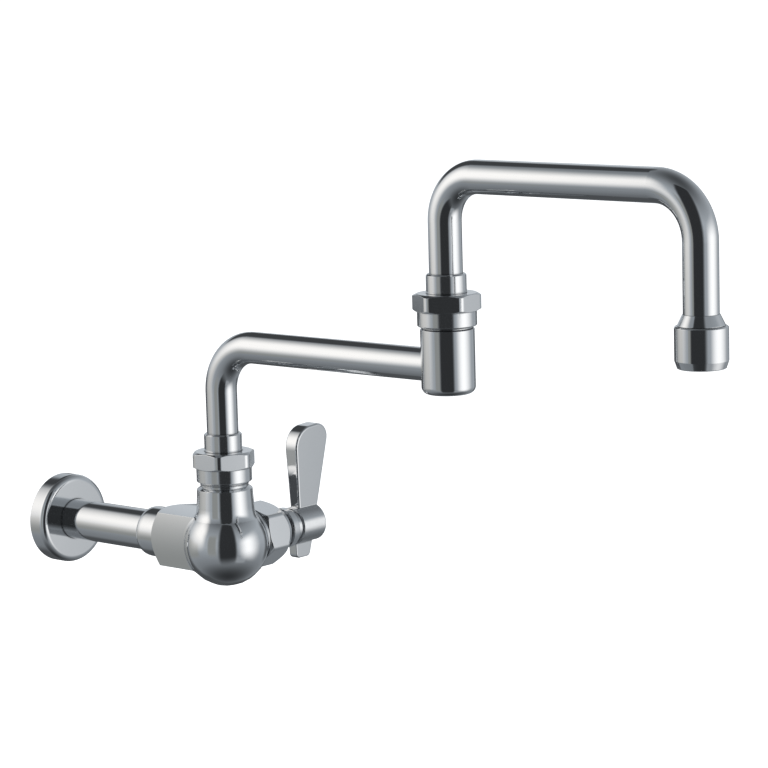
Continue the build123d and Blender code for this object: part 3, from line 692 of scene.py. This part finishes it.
class Finish(Enum):
    """Every finish on the object."""

    POLISHED = Plating("polished_plating")
    CASTING = Plating("polished_casting", ball=(0.0, -145.4 * MM, -1.1 * MM, 25.5 * MM))
    TURNED = Plating("turned_plating", roughness=0.05, rings=0.35)
    SATIN = Plating("satin_plating", roughness=0.05, brushed=0.10, edge_radius=0.5 * MM)
    LEVER = Plating("lever_plating", rings=0.6, ring_axis=Axis.X, feed=0.15, rings_per_metre=1000.0,
                    ring_depth=0.03 * MM, hub=(-0.1454, 0.0, 11.7 * MM))
    BRASS = PlainFinish("machined_brass", (0.72, 0.50, 0.20), (0.60, 0.40, 0.15), 0.28, 1.0)
    RUBBER = PlainFinish("black_rubber", (0.025, 0.025, 0.027), (0.015, 0.015, 0.016), 0.6)
    CERAMIC = PlainFinish("lapped_ceramic", (0.86, 0.85, 0.82), (0.80, 0.79, 0.76), 0.18)
    NYLON = PlainFinish("white_nylon_grain", (0.82, 0.82, 0.79), (0.74, 0.74, 0.71), 0.42)
    STEEL = PlainFinish("brushed_steel", (0.62, 0.61, 0.59), (0.50, 0.49, 0.47), 0.3, 1.0)


NODE_FINISHES: dict[Finish, tuple[str, ...]] = {
    Finish.POLISHED: ("wall_flange", "inlet_pipe", "inlet_collar", "index_cap", "lower_arm", "upper_arm",
                      "elbow_housing", "outlet_adapter", "aerator_housing"),
    Finish.CASTING: ("valve_body",),
    Finish.TURNED: ("lower_swivel_sleeve", "upper_swivel_sleeve"),
    Finish.SATIN: ("lower_swing_nut", "upper_swing_nut", "cartridge_bonnet"),
    Finish.LEVER: ("lever_handle",),
    Finish.BRASS: ("cartridge_body", "cartridge_stem", "lower_split_ring", "upper_split_ring"),
    Finish.RUBBER: ("flange_grip_ring", "cartridge_seat_seal", "stem_o_ring", "lower_o_rings",
                    "upper_o_rings", "aerator_washer"),
    Finish.CERAMIC: ("fixed_disc", "turning_disc"),
    Finish.NYLON: ("lower_thrust_washer", "upper_thrust_washer", "aerator_core"),
    Finish.STEEL: ("handle_screw", "aerator_screen"),
}


class Dresser:
    """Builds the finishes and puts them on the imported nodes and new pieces."""

    def __init__(self) -> None:
        """Build the shared groups and every finish."""
        groups = {"handling": Grain.handling(), "turning": Grain.turning(), "brushing": Grain.brushing(),
                  "ripple": Grain.ripple(), "crevices": Grain.crevices()}
        self.materials = {finish: finish.value.build(groups) for finish in Finish}

    def dress_nodes(self) -> None:
        """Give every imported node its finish."""
        for finish, names in NODE_FINISHES.items():
            for name in names:
                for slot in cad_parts[name].material_slots:
                    slot.material = self.materials[finish]
        log.info("dressed %d nodes", sum(len(names) for names in NODE_FINISHES.values()))

    def dress_piece(self, piece: bpy.types.Object, finish: Finish, body: Body) -> None:
        """Finish a new piece and put it on its body.

        Args:
            piece: The new mesh object.
            finish: Its finish.
            body: The body that carries it.
        """
        piece.data.materials.clear()
        piece.data.materials.append(self.materials[finish])
        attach(piece, body.value)
        log.info("piece %s on %s", piece.name, body.value)


@dataclass
class ScrewThread:
    """Helical ridge, male or female, wound on +Z from its own origin."""

    name: str
    root_radius: float
    crest_radius: float
    pitch: float
    turns: int
    body: Body
    finish: Finish = Finish.POLISHED
    slot: str = "polished_chrome"
    steps: int = 48
    flat: float = 0.12

    def build(self, dresser: Dresser, location: Point, axis: Axis) -> bpy.types.Object:
        """Wind the ridge and put it in place.

        Args:
            dresser: Gives the finish.
            location: Where the thread starts.
            axis: Which way its axis points.

        Returns:
            The finished piece.
        """
        deselect()
        bpy.ops.mesh.primitive_plane_add(size=1.0)
        ridge = bpy.context.object
        ridge.name = self.name
        foot = self.pitch * (0.5 - self.flat / 2)
        crest = self.pitch * self.flat / 2
        corners = ((self.root_radius, -foot), (self.root_radius, foot),
                   (self.crest_radius, crest), (self.crest_radius, -crest))
        order = sorted(ridge.data.vertices, key=lambda vertex: (vertex.co.x > 0, vertex.co.y))
        for vertex, (radius, height) in zip((order[0], order[1], order[3], order[2]), corners):
            vertex.co = (radius, 0.0, height)
        winding = ridge.modifiers.new("winding", "SCREW")
        winding.axis = "Z"
        winding.screw_offset = self.pitch
        winding.iterations = self.turns
        winding.steps = self.steps
        winding.render_steps = self.steps
        winding.use_merge_vertices = False
        bpy.ops.object.modifier_apply(modifier="winding")
        bpy.ops.object.mode_set(mode="EDIT")
        bpy.ops.mesh.select_all(action="SELECT")
        bpy.ops.mesh.remove_doubles(threshold=MERGE_DISTANCE)
        bpy.ops.mesh.normals_make_consistent(inside=False)
        bpy.ops.object.mode_set(mode="OBJECT")
        bpy.ops.object.shade_smooth_by_angle(angle=THREAD_SMOOTH_ANGLE)
        ridge.location = location
        if axis is Axis.Y:
            ridge.rotation_euler = (radians(90), 0, 0)
        settle(ridge)
        dresser.dress_piece(ridge, self.finish, self.body)
        return ridge


@dataclass
class WallInlet:
    """Female pipe thread in the inlet's mouth."""

    start: Point = (0.0, -0.9 * MM, 0.0)
    thread: ScrewThread = field(default_factory=lambda: ScrewThread(
        "inlet_thread", 10.47 * MM, 9.45 * MM, 1.814 * MM, 8, Body.VALVE, Finish.BRASS, "bare_brass"))

    def build(self, dresser: Dresser) -> None:
        """Wind the thread inside the pipe from its mouth."""
        self.thread.build(dresser, self.start, Axis.Y)


@dataclass
class SwivelNeck:
    """Threaded neck that shows between its shoulder and the swing nut's skirt."""

    name: str
    body: Body
    coaxial_node: str
    nut: str
    below_nut: float
    neck_radius: float = 14.48 * MM
    ridge_height: float = 0.32 * MM
    pitch: float = 1.1 * MM
    turns: int = 2

    def build(self, dresser: Dresser) -> None:
        """Wind the ridges over the bare stretch of the neck.

        Args:
            dresser: Gives the finish.
        """
        low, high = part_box(self.coaxial_node)
        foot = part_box(self.nut)[0][2] - self.below_nut
        thread = ScrewThread(self.name, self.neck_radius, self.neck_radius + self.ridge_height, self.pitch,
                             self.turns, self.body)
        thread.build(dresser, ((low[0] + high[0]) / 2, (low[1] + high[1]) / 2, foot), Axis.Z)


def main() -> None:
    """Build the camera, the studio, the finishes and the new pieces."""
    logging.basicConfig(level=logging.INFO, format="%(message)s")
    scene = bpy.context.scene
    scene.view_settings.view_transform = "Standard"
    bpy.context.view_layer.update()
    PhotoCamera().build()
    Studio().build()
    dresser = Dresser()
    dresser.dress_nodes()
    WallInlet().build(dresser)
    for neck in (
            SwivelNeck("lower_neck_thread", Body.VALVE, "lower_swivel_sleeve", "lower_swing_nut", 2.3 * MM),
            SwivelNeck("upper_neck_thread", Body.LOWER, "elbow_housing", "upper_swing_nut", 0.9 * MM)):
        neck.build(dresser)


if __name__ == "__main__":
    main()
